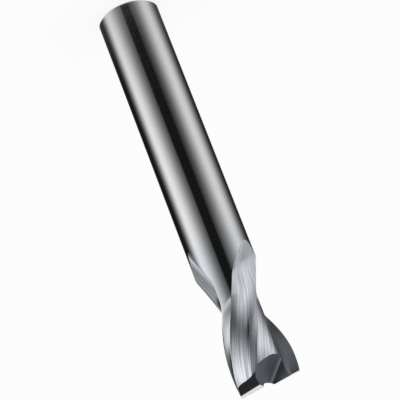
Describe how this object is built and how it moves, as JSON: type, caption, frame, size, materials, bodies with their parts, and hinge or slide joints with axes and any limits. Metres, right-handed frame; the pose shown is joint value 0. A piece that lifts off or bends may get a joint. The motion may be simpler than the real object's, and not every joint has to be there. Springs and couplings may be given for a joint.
{
  "type": "end mill",
  "caption": "Two-flute slot drill ground from one round carbide blank: plain polished shank, helical flutes with run-outs, centre-cutting end teeth.",
  "frame": {"origin": "centre of the flat end of the shank", "axes": "+Z along the tool's axis from the shank to the cutting tip; +X towards the outer corner of the long tooth"},
  "size_m": [0.01, 0.01, 0.066],
  "materials": {
    "carbide": "polished shank, ground flutes and end teeth"
  },
  "bodies": {
    "root": {"end_mill": "carbide"}
  },
  "joints": []
}
